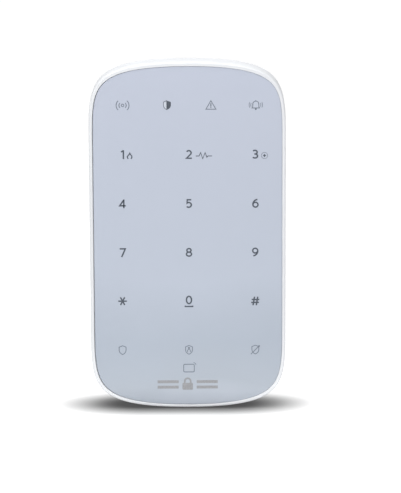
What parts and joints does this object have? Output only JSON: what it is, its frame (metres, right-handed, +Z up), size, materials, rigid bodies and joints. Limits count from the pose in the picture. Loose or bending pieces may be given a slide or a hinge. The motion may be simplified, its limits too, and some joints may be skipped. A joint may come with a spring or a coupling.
{
  "type": "alarm keypad panel",
  "caption": "Wall-hung wireless alarm keypad: flat touch glass in a white rounded case that lifts off a screwed bracket, with tamper plunger and power slider.",
  "frame": {"origin": "centre of the bracket's wall face, on the wall plane", "axes": "+Y points into the wall, so the glass faces -Y; +Z is up along the height; +X is to the right as seen from the front"},
  "size_m": [0.085, 0.022, 0.1516],
  "materials": {
    "white_abs": "white ABS, fine satin moulding texture",
    "touch_glass": "light blue-grey back-painted glass, smooth",
    "adhesive": "black bonding tape",
    "printed_film": "printed polyester film",
    "acrylic": "clear acrylic light guide",
    "sensor_film": "clear film with a printed electrode grid",
    "circuit_board": "green solder mask on glass-fibre board",
    "black_plastic": "black moulded plastic",
    "grey_nylon": "grey nylon",
    "steel": "bright zinc-plated steel",
    "nickel": "nickel-plated spring steel",
    "copper": "copper",
    "cell_wrap": "shrink sleeve over a steel can",
    "flex_film": "amber polyimide flex",
    "red_wire": "red wire insulation",
    "black_wire": "black wire insulation",
    "white_nylon": "white connector nylon",
    "led": "LED package"
  },
  "bodies": {
    "bracket": {"wall_bracket": "white_abs", "lock_screw": "steel"},
    "keypad_unit": {"front_frame": "white_abs", "rear_case": "white_abs", "touch_glass": "touch_glass", "glass_adhesive": "adhesive", "legend_film": "printed_film", "light_guide": "acrylic", "touch_sensor_film": "sensor_film", "backlight_led_1": "led", "backlight_led_2": "led", "backlight_led_3": "led", "backlight_led_4": "led", "status_led_1": "led", "status_led_2": "led", "status_led_3": "led", "status_led_4": "led", "case_screw_1": "steel", "case_screw_2": "steel", "case_screw_3": "steel", "case_screw_4": "steel", "main_board_screw_1": "steel", "main_board_screw_2": "steel", "reader_board_screw_1": "steel", "reader_board_screw_2": "steel", "radio_module": "steel", "power_switch": "steel", "tamper_spring": "steel", "battery_holder": "black_plastic", "microcontroller": "black_plastic", "buzzer": "black_plastic", "tamper_switch": "black_plastic", "reader_chip": "black_plastic", "battery_1": "cell_wrap", "battery_2": "cell_wrap", "battery_3": "cell_wrap", "battery_4": "cell_wrap", "battery_plate_1": "nickel", "battery_plate_2": "nickel", "battery_plate_3": "nickel", "battery_plate_4": "nickel", "battery_spring_1": "nickel", "battery_spring_2": "nickel", "battery_spring_3": "nickel", "battery_spring_4": "nickel", "main_board": "circuit_board", "reader_board": "circuit_board", "radio_antenna": "copper", "reader_antenna_coil": "copper", "sensor_tail": "flex_film", "reader_ribbon": "flex_film", "sensor_connector": "white_nylon", "battery_connector": "white_nylon", "ribbon_socket_upper": "white_nylon", "ribbon_socket_lower": "white_nylon", "battery_lead_red": "red_wire", "battery_lead_black": "black_wire"},
    "tamper_pin": {"tamper_plunger": "grey_nylon"},
    "power_slide": {"power_switch_lever": "black_plastic", "power_switch_slider": "grey_nylon"}
  },
  "joints": [
    {"name": "unit_lift", "type": "slide", "parent": "bracket", "child": "keypad_unit", "axis": [0, 0, 1], "range_m": [0, 0.007]},
    {"name": "tamper_press", "type": "slide", "parent": "keypad_unit", "child": "tamper_pin", "axis": [0, 1, 0], "range_m": [0, 0.0018], "stiffness_N_per_m": 150, "springref_m": 0.0025, "deforming": ["tamper_spring"]},
    {"name": "power_slider", "type": "slide", "parent": "keypad_unit", "child": "power_slide", "axis": [1, 0, 0], "range_m": [0, 0.0025]}
  ]
}
